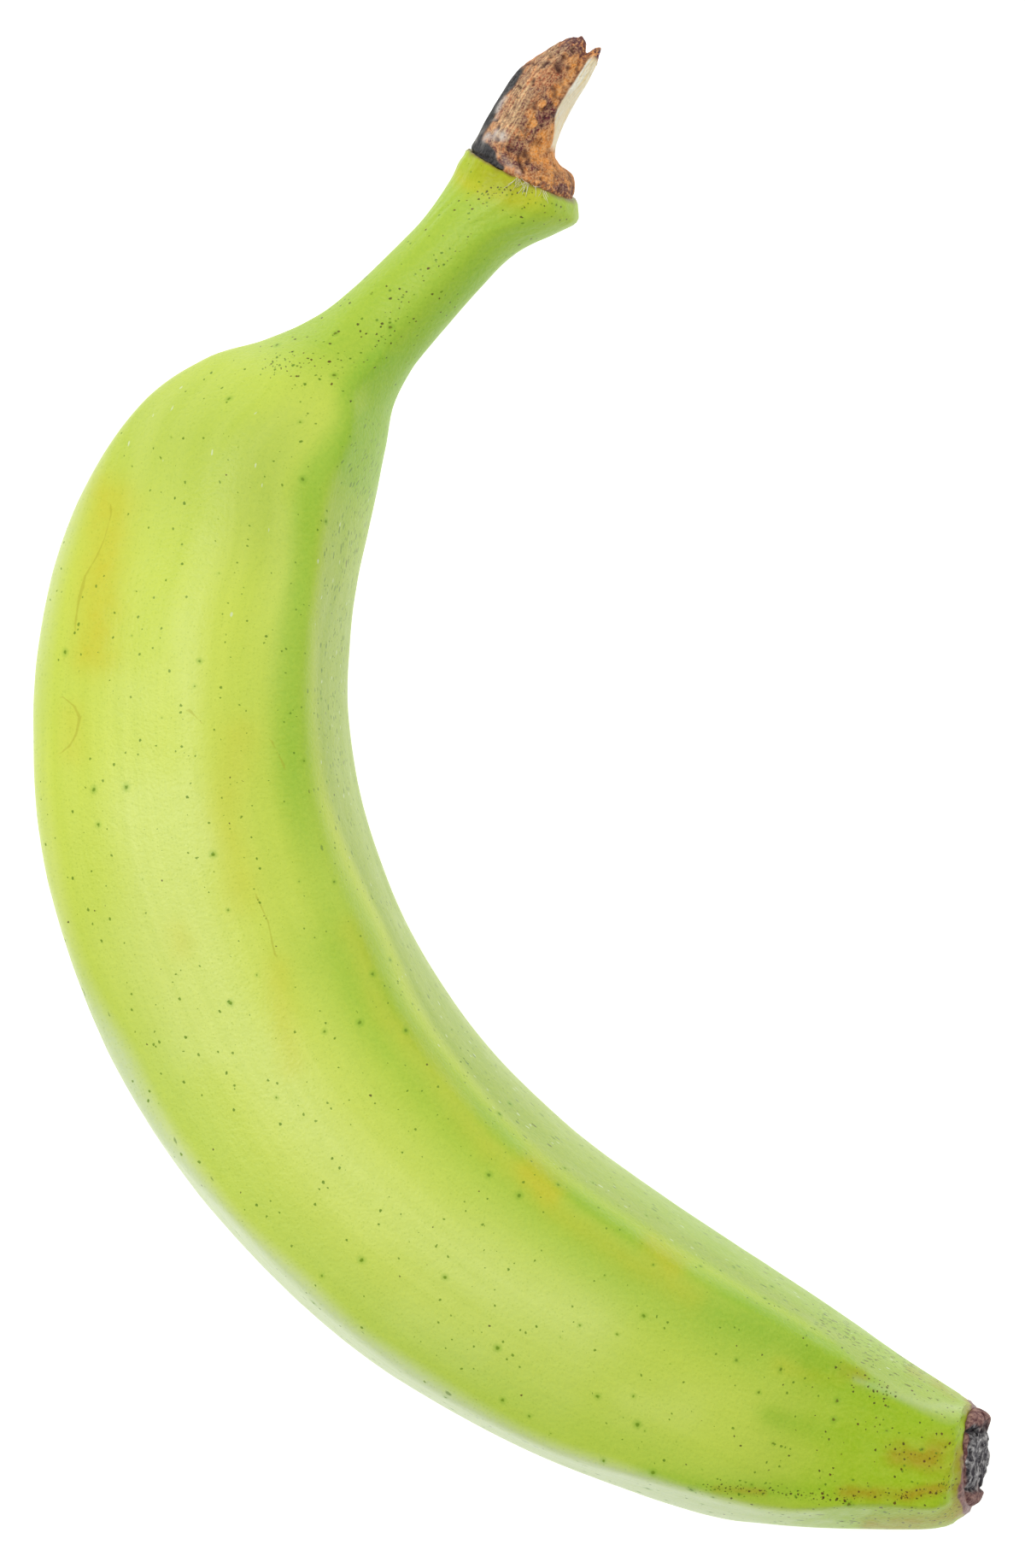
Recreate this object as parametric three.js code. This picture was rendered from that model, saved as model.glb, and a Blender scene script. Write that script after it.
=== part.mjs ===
// A single green banana, picked, lying on its side on a flat surface.
// It is one grown piece from end to end: a torn stub of dry crown tissue, the stalk with its collar,
// the curved fruit with its five long ridges, and the dry scar that the flower left.
// Millimetres, +Z up. The origin is on the surface, under the middle of the fruit's box.
import * as THREE from "three";

// How finely the skin is faceted: points on each of the five sides, and the space between slices.
const POINTS_ON_SIDES = [9, 6, 9, 7, 9];
const FRUIT_SPACING = 2.8;
const DRY_SPACING = 1.2;

// The fruit rests on three low places along its curve. Its skin is pressed flat there by this much.
const PRESSED_FLAT = 0.5;

// The shape of a slice. Its five ridges are given in degrees from the outer curve, over the top, to
// the inner curve and back underneath, and `stand` is how far out each one is. `crisp` sharpens the
// ridges, and `round` is how far the sides between them swell towards a circle.
const STUB = { ridges: [14, 74, 126, 207, 300], stand: [1, 1, 1, 1.05, 1], crisp: 22, round: 0.15 };
const COLLAR = { ridges: [8, 60, 116, 204, 292], stand: [1, 1, 1, 1, 1], crisp: 12, round: 0.68 };
const STALK = { ridges: [4, 52, 106, 198, 290], stand: [1, 0.98, 1.01, 1, 1], crisp: 10, round: 0.62 };
const NECK = { ridges: [8, 62, 112, 200, 290], stand: [1, 0.96, 1.02, 1, 1], crisp: 14, round: 0.52 };
const SHOULDER = { ridges: [18, 78, 124, 206, 294], stand: [1, 0.94, 1.02, 1, 1], crisp: 20, round: 0.42 };
const UPPER = { ridges: [28, 93, 131, 205, 296], stand: [1, 0.91, 1.02, 1, 1], crisp: 24, round: 0.4 };
const BELLY = { ridges: [35, 94, 131, 204, 298], stand: [1, 0.9, 1.02, 1, 1], crisp: 24, round: 0.38 };
const LOWER = { ridges: [47, 93, 128, 203, 300], stand: [1.01, 0.86, 1.02, 1, 1], crisp: 26, round: 0.36 };
const TAPER = { ridges: [58, 94, 130, 200, 302], stand: [1.02, 0.87, 1.03, 1, 1], crisp: 28, round: 0.32 };
const TIP = { ridges: [67, 96, 128, 198, 304], stand: [1.03, 0.9, 1.04, 1, 1], crisp: 24, round: 0.34 };
const SCAR = { ridges: [58, 100, 146, 206, 304], stand: [1, 1, 1, 1, 1], crisp: 14, round: 0.7 };

// Slices of the torn stub, from its broken end to the collar: where each one meets the outer curve
// and the inner curve, its height, how far its underside is off the surface, and its shape.
const STUB_SLICES = [
  { outer: [5.2, 86.5], inner: [8.7, 86.4], height: 3.4, under: 12.2, shape: STUB },
  { outer: [3.6, 85.6], inner: [10.1, 85.8], height: 5.8, under: 11.0, shape: STUB },
  { outer: [1.6, 84.5], inner: [9.8, 84.4], height: 7.0, under: 10.2, shape: STUB },
  { outer: [0.2, 83.2], inner: [8.9, 82.4], height: 7.8, under: 9.8, shape: STUB },
  { outer: [-1.3, 80.9], inner: [7.3, 79.8], height: 8.4, under: 9.6, shape: STUB },
  { outer: [-2.8, 78.4], inner: [5.8, 76.8], height: 8.8, under: 9.6, shape: STUB },
  { outer: [-4.0, 76.2], inner: [5.0, 74.1], height: 9.2, under: 9.6, shape: STUB, lean: -0.03 },
  { outer: [-4.8, 74.8], inner: [5.5, 72.5], height: 9.8, under: 9.4, shape: STUB, lean: -0.07 },
  { outer: [-4.6, 74.2], inner: [7.1, 71.0], height: 10.4, under: 9.1, shape: COLLAR, lean: -0.11 },
  { outer: [-4.4, 73.8], inner: [7.2, 69.0], height: 10.8, under: 8.9, shape: COLLAR, lean: -0.13 },
];
const FRUIT_SLICES = [
  { outer: [-5.1, 74.4], inner: [7.4, 68.4], height: 11.8, under: 8.6, shape: COLLAR, lean: -0.13 },
  { outer: [-5.6, 73.7], inner: [7.7, 67.1], height: 12.6, under: 8.2, shape: COLLAR, lean: -0.13 },
  { outer: [-6.3, 72.7], inner: [7.5, 65.7], height: 12.6, under: 8.3, shape: COLLAR, lean: -0.12 },
  { outer: [-7.2, 70.9], inner: [5.0, 64.4], height: 12.0, under: 8.7, shape: COLLAR, lean: -0.07 },
  { outer: [-9.8, 67.1], inner: [0.4, 62.1], height: 10.8, under: 9.4, shape: STALK },
  { outer: [-12.9, 63.7], inner: [-3.7, 58.2], height: 10.4, under: 9.7, shape: STALK },
  { outer: [-20.0, 57.0], inner: [-10.1, 50.8], height: 11.2, under: 9.6, shape: STALK },
  { outer: [-24.0, 54.2], inner: [-12.2, 47.9], height: 13.0, under: 9.0, shape: NECK },
  { outer: [-29.0, 52.0], inner: [-14.0, 44.2], height: 16.8, under: 7.6, shape: NECK },
  { outer: [-36.0, 49.7], inner: [-14.9, 39.6], height: 22.6, under: 5.0, shape: SHOULDER },
  { outer: [-43.4, 44.4], inner: [-16.3, 32.8], height: 28.6, under: 2.0, shape: SHOULDER },
  { outer: [-50.1, 34.4], inner: [-18.3, 23.4], height: 32.6, under: 0, shape: UPPER },
  { outer: [-54.2, 22.4], inner: [-19.1, 16.2], height: 34.2, under: 0.7, shape: UPPER },
  { outer: [-55.9, 7.0], inner: [-19.2, 7.4], height: 34.8, under: 1.1, shape: UPPER },
  { outer: [-54.0, -12.2], inner: [-17.2, -3.8], height: 35.0, under: 0.8, shape: BELLY },
  { outer: [-45.8, -34.0], inner: [-12.2, -16.8], height: 35.2, under: 0, shape: BELLY },
  { outer: [-32.8, -52.6], inner: [-4.4, -28.9], height: 34.4, under: 0.8, shape: LOWER },
  { outer: [-16.5, -67.5], inner: [5.8, -39.4], height: 33.4, under: 1.2, shape: LOWER },
  { outer: [2.0, -78.0], inner: [18.4, -48.8], height: 31.4, under: 1.1, shape: LOWER },
  { outer: [20.8, -85.1], inner: [32.4, -58.0], height: 27.8, under: 0.7, shape: TAPER },
  { outer: [31.0, -86.9], inner: [39.6, -62.9], height: 24.6, under: 0, shape: TAPER },
  { outer: [41.4, -87.5], inner: [46.8, -67.9], height: 20.2, under: 1.4, shape: TIP },
  { outer: [49.6, -87.3], inner: [52.6, -71.7], height: 15.8, under: 3.7, shape: TIP, lean: 0.08 },
  { outer: [52.6, -86.0], inner: [53.6, -72.6], height: 13.6, under: 4.8, shape: SCAR, lean: 0.18 },
  { outer: [53.6, -84.7], inner: [54.0, -73.2], height: 11.6, under: 5.8, shape: SCAR, lean: 0.2 },
];
const SCAR_SLICES = [
  { outer: [53.3, -84.0], inner: [54.1, -73.8], height: 10.4, under: 6.4, shape: SCAR, lean: 0.2 },
  { outer: [54.0, -83.8], inner: [55.1, -73.7], height: 10.6, under: 6.3, shape: SCAR, lean: 0.2 },
  { outer: [54.5, -82.4], inner: [55.5, -74.6], height: 8.4, under: 7.4, shape: SCAR, lean: 0.2 },
];

// How rough the dry tissue is: grooves along the stub, its torn end, and lumps on the scar.
const GROOVE_DEPTH = 0.13;
const TORN_DEPTH = 0.5;
const LUMP_DEPTH = 0.35;
const TORN_PEAK = [7.7, 87.5, 14.4];
const SCAR_HOLLOW = [54.8, -78.6, 11.6];

// A smooth curve through four values, at share t of the way from b to c.
function between(a, b, c, d, t) {
  const leave = (c - a) / 2;
  const arrive = (d - b) / 2;
  const rise = c - b;
  return b + leave * t + (3 * rise - 2 * leave - arrive) * t ** 2 + (leave + arrive - 2 * rise) * t ** 3;
}

// The slice at share t of the way from slices[i] to slices[i + 1].
function sliceAt(slices, i, t) {
  const near = [-1, 0, 1, 2].map((k) => slices[Math.min(Math.max(i + k, 0), slices.length - 1)]);
  const curve = (read) => between(...near.map(read), t);
  const blend = (a, b) => THREE.MathUtils.lerp(a, b, t);
  const [, from, to] = near.map((slice) => slice.shape);
  return {
    outer: new THREE.Vector2(curve((s) => s.outer[0]), curve((s) => s.outer[1])),
    inner: new THREE.Vector2(curve((s) => s.inner[0]), curve((s) => s.inner[1])),
    height: curve((s) => s.height),
    under: curve((s) => s.under),
    lean: curve((s) => s.lean ?? 0),
    shape: {
      ridges: from.ridges.map((_, k) => curve((s) => s.shape.ridges[k])),
      stand: from.stand.map((_, k) => curve((s) => s.shape.stand[k])),
      crisp: blend(from.crisp, to.crisp),
      round: blend(from.round, to.round),
    },
  };
}

// Slices at an even spacing from one end of a list to the other.
function closeSlices(slices, spacing) {
  const middle = ({ outer, inner }) => new THREE.Vector2(...outer).lerp(new THREE.Vector2(...inner), 0.5);
  const all = [];
  for (let i = 0; i < slices.length - 1; i++) {
    const gap = middle(slices[i]).distanceTo(middle(slices[i + 1]));
    const steps = Math.max(1, Math.round(gap / spacing));
    for (let k = 0; k < steps; k++) all.push(sliceAt(slices, i, k / steps));
  }
  all.push(sliceAt(slices, slices.length - 2, 1));
  return all;
}

// The outline of a shape, as points from ridge to ridge: its sides are straight between the ridges,
// softened where they meet, then swollen part of the way towards a circle.
function outlineOf(shape) {
  const ridges = shape.ridges.map((angle) => THREE.MathUtils.degToRad(angle));
  ridges.push(ridges[0] + 2 * Math.PI);
  const corner = (k) => {
    const stand = shape.stand[k % shape.stand.length];
    return new THREE.Vector2(Math.cos(ridges[k]), Math.sin(ridges[k])).multiplyScalar(stand);
  };
  const sides = shape.ridges.map((_, k) => {
    const along = corner(k + 1).sub(corner(k)).normalize();
    const facing = new THREE.Vector2(along.y, -along.x);
    return { facing, reach: facing.dot(corner(k)) };
  });
  const points = [];
  POINTS_ON_SIDES.forEach((count, side) => {
    for (let k = 0; k < count; k++) {
      const angle = THREE.MathUtils.lerp(ridges[side], ridges[side + 1], k / count);
      const direction = new THREE.Vector2(Math.cos(angle), Math.sin(angle));
      const towards = sides.map(({ facing, reach }) => Math.max(direction.dot(facing) / reach, 0));
      const straight = towards.reduce((sum, share) => sum + share ** shape.crisp, 0) ** (-1 / shape.crisp);
      points.push(direction.multiplyScalar(THREE.MathUtils.lerp(straight, 1, shape.round)));
    }
  });
  return points;
}

// One ring of points round a slice. Its outline just fills the slice's width and height.
function ringOf(slice, roughness) {
  const outline = outlineOf(slice.shape);
  const box = new THREE.Box2().setFromPoints(outline);
  const size = box.getSize(new THREE.Vector2());
  const middle = box.getCenter(new THREE.Vector2());
  const centre = slice.outer.clone().add(slice.inner).divideScalar(2);
  const across = slice.outer.clone().sub(slice.inner);
  const along = new THREE.Vector2(across.y, -across.x).normalize();
  return outline.map((point, k) => {
    const swell = 1 + (2 * roughness(k)) / across.length();
    const out = ((point.x - middle.x) / size.x) * swell;
    const up = ((point.y - middle.y) / size.y) * slice.height * swell;
    const forward = along.clone().multiplyScalar(slice.lean * up);
    return new THREE.Vector3(
      centre.x + across.x * out + forward.x,
      centre.y + across.y * out + forward.y,
      Math.max(slice.under + slice.height / 2 + up - PRESSED_FLAT, 0),
    );
  });
}

// Rings joined into one closed skin, with a fan of faces from the first and the last to a point.
function skin(rings, firstPoint, lastPoint) {
  const around = rings[0].length;
  const vertices = [...rings.flat(), new THREE.Vector3(...firstPoint), new THREE.Vector3(...lastPoint)];
  const last = vertices.length - 1;
  const faces = [];
  for (let k = 0; k < around; k++) {
    const next = (k + 1) % around;
    for (let ring = 0; ring < rings.length - 1; ring++) {
      const row = ring * around;
      faces.push(row + k, row + around + k, row + next, row + next, row + around + k, row + around + next);
    }
    const lastRow = (rings.length - 1) * around;
    faces.push(last - 1, k, next, last, lastRow + next, lastRow + k);
  }
  return new THREE.BufferGeometry().setFromPoints(vertices).setIndex(faces);
}

const stubRings = closeSlices(STUB_SLICES, DRY_SPACING).map((slice, row) =>
  ringOf(slice, (k) => GROOVE_DEPTH * Math.sin(2.4 * k) + TORN_DEPTH * Math.sin(4.1 * k) * Math.exp(-row)),
);
const fruitRings = closeSlices(FRUIT_SLICES, FRUIT_SPACING).map((slice) => ringOf(slice, () => 0));
const scarRings = closeSlices(SCAR_SLICES, DRY_SPACING).map((slice, row) =>
  ringOf(slice, (k) => LUMP_DEPTH * Math.sin(1.9 * k) * Math.cos(0.7 * k + row)),
);

const peel = new THREE.MeshStandardMaterial({ color: 0xb4d65a, roughness: 0.45, metalness: 0 });
const rings = [...stubRings, ...fruitRings, ...scarRings];
const banana = new THREE.Mesh(skin(rings, TORN_PEAK, SCAR_HOLLOW), peel);
banana.name = "banana";

const fruit = new THREE.Group();
fruit.add(banana);

export default fruit;
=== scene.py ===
# A single green banana, picked, lying on its side on a pale surface.
# It is one grown thing. Its peel, the torn dry stub of the crown with a few threads at its edge, and
# the dry scar of the flower are modelled as pieces that meet without a gap. Metres, in the frame of
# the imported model.
import math
import random

import bmesh
import bpy
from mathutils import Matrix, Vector, noise


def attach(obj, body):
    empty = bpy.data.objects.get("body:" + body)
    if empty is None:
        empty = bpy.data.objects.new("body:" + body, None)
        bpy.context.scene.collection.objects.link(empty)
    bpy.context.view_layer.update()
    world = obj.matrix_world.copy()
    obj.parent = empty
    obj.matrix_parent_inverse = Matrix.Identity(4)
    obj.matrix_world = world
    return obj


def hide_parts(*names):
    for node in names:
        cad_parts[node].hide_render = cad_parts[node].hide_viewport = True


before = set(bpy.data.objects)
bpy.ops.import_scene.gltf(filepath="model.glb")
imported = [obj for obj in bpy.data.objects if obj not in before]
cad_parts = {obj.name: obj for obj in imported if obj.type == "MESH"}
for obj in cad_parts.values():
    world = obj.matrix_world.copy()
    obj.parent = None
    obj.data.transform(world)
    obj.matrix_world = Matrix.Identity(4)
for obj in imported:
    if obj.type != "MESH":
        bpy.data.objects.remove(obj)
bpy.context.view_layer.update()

# noise_vector draws its places anew on each run unless it has a seed.
noise.seed_set(11)

# CAMERA, LIGHT AND FLOOR
# The camera looks straight down from far off, so that the fruit is seen as it lies. One large soft
# light hangs over its outer curve and another over its hollow, with a white room all round.
VIEW_HEIGHT = 2.5
VIEW_LENGTH = 0.1835
FRUIT_MIDDLE_HEIGHT = 0.017
FILM_LENGTH = 36
stage = bpy.context.scene
stage.view_settings.view_transform = "Standard"

camera_data = bpy.data.cameras.new("camera")
camera_data.lens = FILM_LENGTH * VIEW_HEIGHT / VIEW_LENGTH
camera_data.clip_end = 20
camera = bpy.data.objects.new("camera", camera_data)
camera.location = (0, 0, VIEW_HEIGHT + FRUIT_MIDDLE_HEIGHT)
stage.collection.objects.link(camera)
stage.camera = camera


def soft_light(name, place, width, watts):
    """A square lamp that faces the middle of the fruit."""
    lamp = bpy.data.lights.new(name, "AREA")
    lamp.size = width
    lamp.energy = watts
    hung = bpy.data.objects.new(name, lamp)
    hung.location = place
    hung.rotation_euler = (Vector((0, 0, 0)) - Vector(place)).to_track_quat("-Z", "Y").to_euler()
    stage.collection.objects.link(hung)


soft_light("lamp_over_curve", (-0.55, 0.3, 1.1), 0.75, 8)
soft_light("lamp_over_hollow", (0.8, 0.5, 0.9), 1.0, 3.2)

room = bpy.data.worlds.new("white_room")
room.use_nodes = True
sky = room.node_tree.nodes["Background"]
sky.inputs["Color"].default_value = (0.95, 0.97, 1, 1)
sky.inputs["Strength"].default_value = 0.42
stage.world = room

table = bmesh.new()
bmesh.ops.create_circle(table, cap_ends=True, segments=96, radius=1.5)
table_mesh = bpy.data.meshes.new("pale_table")
table.to_mesh(table_mesh)
table.free()
table_top = bpy.data.objects.new("pale_table", table_mesh)
stage.collection.objects.link(table_top)
table_paint = bpy.data.materials.new("pale_table")
table_paint.use_nodes = True
white = table_paint.node_tree.nodes["Principled BSDF"]
white.inputs["Base Color"].default_value = (0.5, 0.5, 0.5, 1)
white.inputs["Roughness"].default_value = 0.8
white.inputs["Emission Color"].default_value = (1, 1, 1, 1)
white.inputs["Emission Strength"].default_value = 0.85
table_mesh.materials.append(table_paint)

# PEEL
# The green skin, from the collar under the crown to the rim round the flower scar. It grew over
# the flesh in five faces with a long ridge where each two meet, and it is widest at its belly.
MM = 0.001
PRESSED_FLAT = 0.5
PEEL_POINTS = [46, 26, 44, 30, 38]
PEEL_SPACING = 0.5


def shape(ridges, stand, crisp, swell):
    """Five ridges in degrees from the outer curve over the top, how far out each one is, how sharp."""
    return [*ridges, *stand, crisp, swell]


STUB = shape((14, 74, 126, 207, 300), (1, 1, 1, 1.05, 1), 22, 0.15)
COLLAR = shape((8, 60, 116, 204, 292), (1, 1, 1, 1, 1), 12, 0.68)
STALK = shape((4, 52, 106, 198, 290), (1, 0.98, 1.01, 1, 1), 10, 0.62)
NECK = shape((8, 62, 112, 200, 290), (1, 0.96, 1.02, 1, 1), 14, 0.52)
SHOULDER = shape((18, 78, 124, 206, 294), (1, 0.94, 1.02, 1, 1), 20, 0.42)
UPPER = shape((28, 93, 131, 205, 296), (1, 0.91, 1.02, 1, 1), 24, 0.4)
BELLY = shape((35, 94, 131, 204, 298), (1, 0.9, 1.02, 1, 1), 24, 0.38)
LOWER = shape((47, 93, 128, 203, 300), (1.01, 0.86, 1.02, 1, 1), 26, 0.36)
TAPER = shape((58, 94, 130, 200, 302), (1.02, 0.87, 1.03, 1, 1), 28, 0.32)
TIP = shape((67, 96, 128, 198, 304), (1.03, 0.9, 1.04, 1, 1), 24, 0.34)
SCAR = shape((58, 100, 146, 206, 304), (1, 1, 1, 1, 1), 14, 0.7)


def cut(outer, inner, height, under, form, lean=0.0):
    """A slice, in millimetres: where it meets the outer and the inner curve, and how it stands."""
    return [*outer, *inner, height, under, lean, *form]


COLLAR_SLICE = cut((-5.1, 74.4), (7.4, 68.4), 11.8, 8.6, COLLAR, -0.13)
RIM_SLICE = cut((53.6, -84.7), (54.0, -73.2), 11.6, 5.8, SCAR, 0.2)
peel_slices = [
    cut((-1.0, 71.9), (3.2, 70.4), 3.6, 12.4, COLLAR, -0.13),
    cut((-3.6, 73.1), (5.9, 69.2), 9.0, 9.8, COLLAR, -0.13),
    COLLAR_SLICE,
    cut((-5.6, 73.7), (7.7, 67.1), 12.6, 8.2, COLLAR, -0.13),
    cut((-6.3, 72.7), (7.5, 65.7), 12.6, 8.3, COLLAR, -0.12),
    cut((-7.2, 70.9), (5.0, 64.4), 12.0, 8.7, COLLAR, -0.07),
    cut((-9.8, 67.1), (0.4, 62.1), 10.8, 9.4, STALK),
    cut((-12.9, 63.7), (-3.7, 58.2), 10.4, 9.7, STALK),
    cut((-20.0, 57.0), (-10.1, 50.8), 11.2, 9.6, STALK),
    cut((-24.0, 54.2), (-12.2, 47.9), 13.0, 9.0, NECK),
    cut((-29.0, 52.0), (-14.0, 44.2), 16.8, 7.6, NECK),
    cut((-36.0, 49.7), (-14.9, 39.6), 22.6, 5.0, SHOULDER),
    cut((-43.4, 44.4), (-16.3, 32.8), 28.6, 2.0, SHOULDER),
    cut((-50.1, 34.4), (-18.3, 23.4), 32.6, 0, UPPER),
    cut((-54.2, 22.4), (-19.1, 16.2), 34.2, 0.7, UPPER),
    cut((-55.9, 7.0), (-19.2, 7.4), 34.8, 1.1, UPPER),
    cut((-54.0, -12.2), (-17.2, -3.8), 35.0, 0.8, BELLY),
    cut((-45.8, -34.0), (-12.2, -16.8), 35.2, 0, BELLY),
    cut((-32.8, -52.6), (-4.4, -28.9), 34.4, 0.8, LOWER),
    cut((-16.5, -67.5), (5.8, -39.4), 33.4, 1.2, LOWER),
    cut((2.0, -78.0), (18.4, -48.8), 31.4, 1.1, LOWER),
    cut((20.8, -85.1), (32.4, -58.0), 27.8, 0.7, TAPER),
    cut((31.0, -86.9), (39.6, -62.9), 24.6, 0, TAPER),
    cut((41.4, -87.5), (46.8, -67.9), 20.2, 1.4, TIP),
    cut((49.6, -87.3), (52.6, -71.7), 15.8, 3.7, TIP, 0.08),
    cut((52.6, -86.0), (53.6, -72.6), 13.6, 4.8, SCAR, 0.18),
    RIM_SLICE,
    cut((53.1, -83.2), (53.6, -74.6), 9.4, 6.8, SCAR, 0.2),
    cut((52.6, -80.4), (52.8, -77.6), 3.0, 10.0, SCAR, 0.2),
]


def between(a, b, c, d, t):
    """A smooth curve through four values, at share t of the way from b to c."""
    leave, arrive, rise = (c - a) / 2, (d - b) / 2, c - b
    return b + leave * t + (3 * rise - 2 * leave - arrive) * t**2 + (leave + arrive - 2 * rise) * t**3


def close_slices(slices, spacing):
    """Slices at an even spacing, each with its place in the list as its last number."""
    close = []
    last = len(slices) - 1
    for i in range(last):
        near = [slices[min(max(i + k, 0), last)] for k in (-1, 0, 1, 2)]
        here, there = (Vector(((s[0] + s[2]) / 2, (s[1] + s[3]) / 2)) for s in near[1:3])
        steps = max(1, round((there - here).length / spacing))
        for k in range(steps):
            close.append([between(*values, k / steps) for values in zip(*near)] + [i + k / steps])
    close.append(slices[last] + [last])
    return close


def ring_of(close_slice, points_on_sides):
    """Points round a slice, in millimetres, each with its place from ridge to ridge, 0 to 5."""
    ox, oy, ix, iy, height, under, lean, *form = close_slice[:-1]
    ridges = [math.radians(angle) for angle in form[:5]]
    stand, crisp, swell = form[5:10], form[10], form[11]
    ridges.append(ridges[0] + math.tau)
    corners = [(stand[k % 5] * math.cos(a), stand[k % 5] * math.sin(a)) for k, a in enumerate(ridges)]
    sides = []
    for (ax, ay), (bx, by) in zip(corners, corners[1:]):
        facing = (by - ay, ax - bx)
        reach = facing[0] * ax + facing[1] * ay
        sides.append((facing[0] / reach, facing[1] / reach))
    outline = []
    for side, count in enumerate(points_on_sides):
        for k in range(count):
            angle = ridges[side] + (ridges[side + 1] - ridges[side]) * k / count
            x, y = math.cos(angle), math.sin(angle)
            towards = sum(max(x * fx + y * fy, 0) ** crisp for fx, fy in sides)
            reach = towards ** (-1 / crisp)
            reach += (1 - reach) * swell
            outline.append((x * reach, y * reach, side + k / count))
    low_x, high_x = min(p[0] for p in outline), max(p[0] for p in outline)
    low_y, high_y = min(p[1] for p in outline), max(p[1] for p in outline)
    width = math.hypot(ox - ix, oy - iy)
    points = []
    for x, y, around in outline:
        out = (x - low_x) / (high_x - low_x) - 0.5
        up = ((y - low_y) / (high_y - low_y) - 0.5) * height
        px = (ox + ix) / 2 + (ox - ix) * out + lean * up * (oy - iy) / width
        py = (oy + iy) / 2 + (oy - iy) * out - lean * up * (ox - ix) / width
        points.append((px, py, max(under + height / 2 + up - PRESSED_FLAT, 0), around))
    return points


def wrapped_tube(slices, points_on_sides, spacing):
    """A closed tube on the slices. Its vertices keep their place along the list and around the
    ridges, and its UV map is the skin laid flat, in metres, opened along the middle of its underside."""
    close = close_slices(slices, spacing)
    rings = [ring_of(one, points_on_sides) for one in close]
    spokes = sum(points_on_sides)
    bm = bmesh.new()
    bmesh.ops.create_cone(bm, cap_ends=True, segments=spokes, radius1=1, radius2=1, depth=2)
    long_edges = [e for e in bm.edges if abs(e.verts[0].co.z - e.verts[1].co.z) > 1]
    bmesh.ops.subdivide_edges(bm, edges=long_edges, cuts=len(rings) - 2)
    along = bm.verts.layers.float.new("along")
    around = bm.verts.layers.float.new("around")
    top = points_on_sides[0]
    opened = sum(points_on_sides[:3]) + points_on_sides[3] // 2
    flat, girths = [], []
    travelled = 0
    for row, ring in enumerate(rings):
        places = [Vector(point[:3]) * MM for point in ring]
        steps = [(places[(k + 1) % spokes] - places[k]).length for k in range(spokes)]
        girth = sum(steps)
        if row:
            travelled += (sum(places, Vector()) / spokes - middle).length
        middle = sum(places, Vector()) / spokes
        from_top = [sum(steps[:k]) - sum(steps[:top]) for k in range(spokes)]
        flat.append([(u - girth if k > opened else u, travelled) for k, u in enumerate(from_top)])
        girths.append(girth)
    at = {}
    for v in bm.verts:
        row = round((v.co.z + 1) / 2 * (len(rings) - 1))
        spoke = round(math.atan2(v.co.y, v.co.x) / math.tau * spokes) % spokes
        x, y, z, turn = rings[row][spoke]
        v.co = (x * MM, y * MM, z * MM)
        v[along] = close[row][-1]
        v[around] = turn
        at[v] = (row, spoke)
    skin = bm.loops.layers.uv.new("skin")
    for f in bm.faces:
        spokes_here = [at[loop.vert][1] for loop in f.loops]
        crosses = opened in spokes_here and opened + 1 in spokes_here
        for loop, spoke in zip(f.loops, spokes_here):
            row = at[loop.vert][0]
            u, v = flat[row][spoke]
            loop[skin].uv = (u + girths[row] if crosses and spoke > opened else u, v)
    bmesh.ops.recalc_face_normals(bm, faces=bm.faces)
    if bm.calc_volume(signed=True) < 0:
        bmesh.ops.reverse_faces(bm, faces=bm.faces)
    bm.normal_update()
    return bm


def past(place, ridge):
    """How many sides a place is past a ridge, from -2.5 to 2.5."""
    return (place - ridge + 2.5) % 5 - 2.5


def hill(value, middle, width):
    """1 at the middle, falling smoothly to 0 on both sides."""
    return math.exp(-(((value - middle) / width) ** 2))


def rise(value, low, high):
    """0 below low and 1 above high, smooth between them."""
    share = min(max((value - low) / (high - low), 0), 1)
    return share * share * (3 - 2 * share)


def off_line(x, y, line):
    """How far a place lies from a bent line, below 0 on its right, and how far past its end."""
    nearest = None
    for (ax, ay), (bx, by) in zip(line, line[1:]):
        dx, dy = bx - ax, by - ay
        long = math.hypot(dx, dy)
        reach = ((x - ax) * dx + (y - ay) * dy) / long
        foot = min(max(reach, 0), long)
        gap = math.hypot(x - ax - dx * foot / long, y - ay - dy * foot / long)
        if nearest is None or gap < nearest[0]:
            nearest = (gap, math.copysign(gap, dx * (y - ay) - dy * (x - ax)), abs(reach - foot))
    return nearest[1:]


def near_line(x, y, line, width):
    """1 on a bent line, falling smoothly to 0 at about twice its width."""
    return math.exp(-((off_line(x, y, line)[0] / width) ** 2))


def feature_at(x, y, features):
    """What features add up to at a place. Each is a line in millimetres, its width and its strength."""
    total = 0
    for line, width, strength in features:
        spread = 2.6 * width + 1
        if min(p[0] for p in line) - spread < x < max(p[0] for p in line) + spread:
            if min(p[1] for p in line) - spread < y < max(p[1] for p in line) + spread:
                total += strength * near_line(x, y, line, width)
    return total


def finished(bm, name, body_node, material):
    """Turns the mesh into a piece that rides on the fruit's body and stands for its solid."""
    for face in bm.faces:
        face.smooth = True
    mesh = bpy.data.meshes.new(name)
    bm.to_mesh(mesh)
    bm.free()
    mesh.materials.append(material)
    piece = bpy.data.objects.new(name, mesh)
    stage.collection.objects.link(piece)
    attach(piece, "root")
    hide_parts(body_node)


peel = wrapped_tube(peel_slices, PEEL_POINTS, PEEL_SPACING)
along = peel.verts.layers.float["along"]
around = peel.verts.layers.float["around"]
marks = {name: peel.verts.layers.float.new(name)
         for name in ("deep_green_and_shade", "pale", "grey_reflection", "fresh", "warm", "olive", "rust", "rim_reflection", "husk",
                      "fleck", "dash", "burnt", "spots", "scratch", "scratched", "rind_end")}

# Two of the five ridges by number: the one along the outer curve, and the one over the hollow.
BACK, HOLLOW = 0, 2
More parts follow.
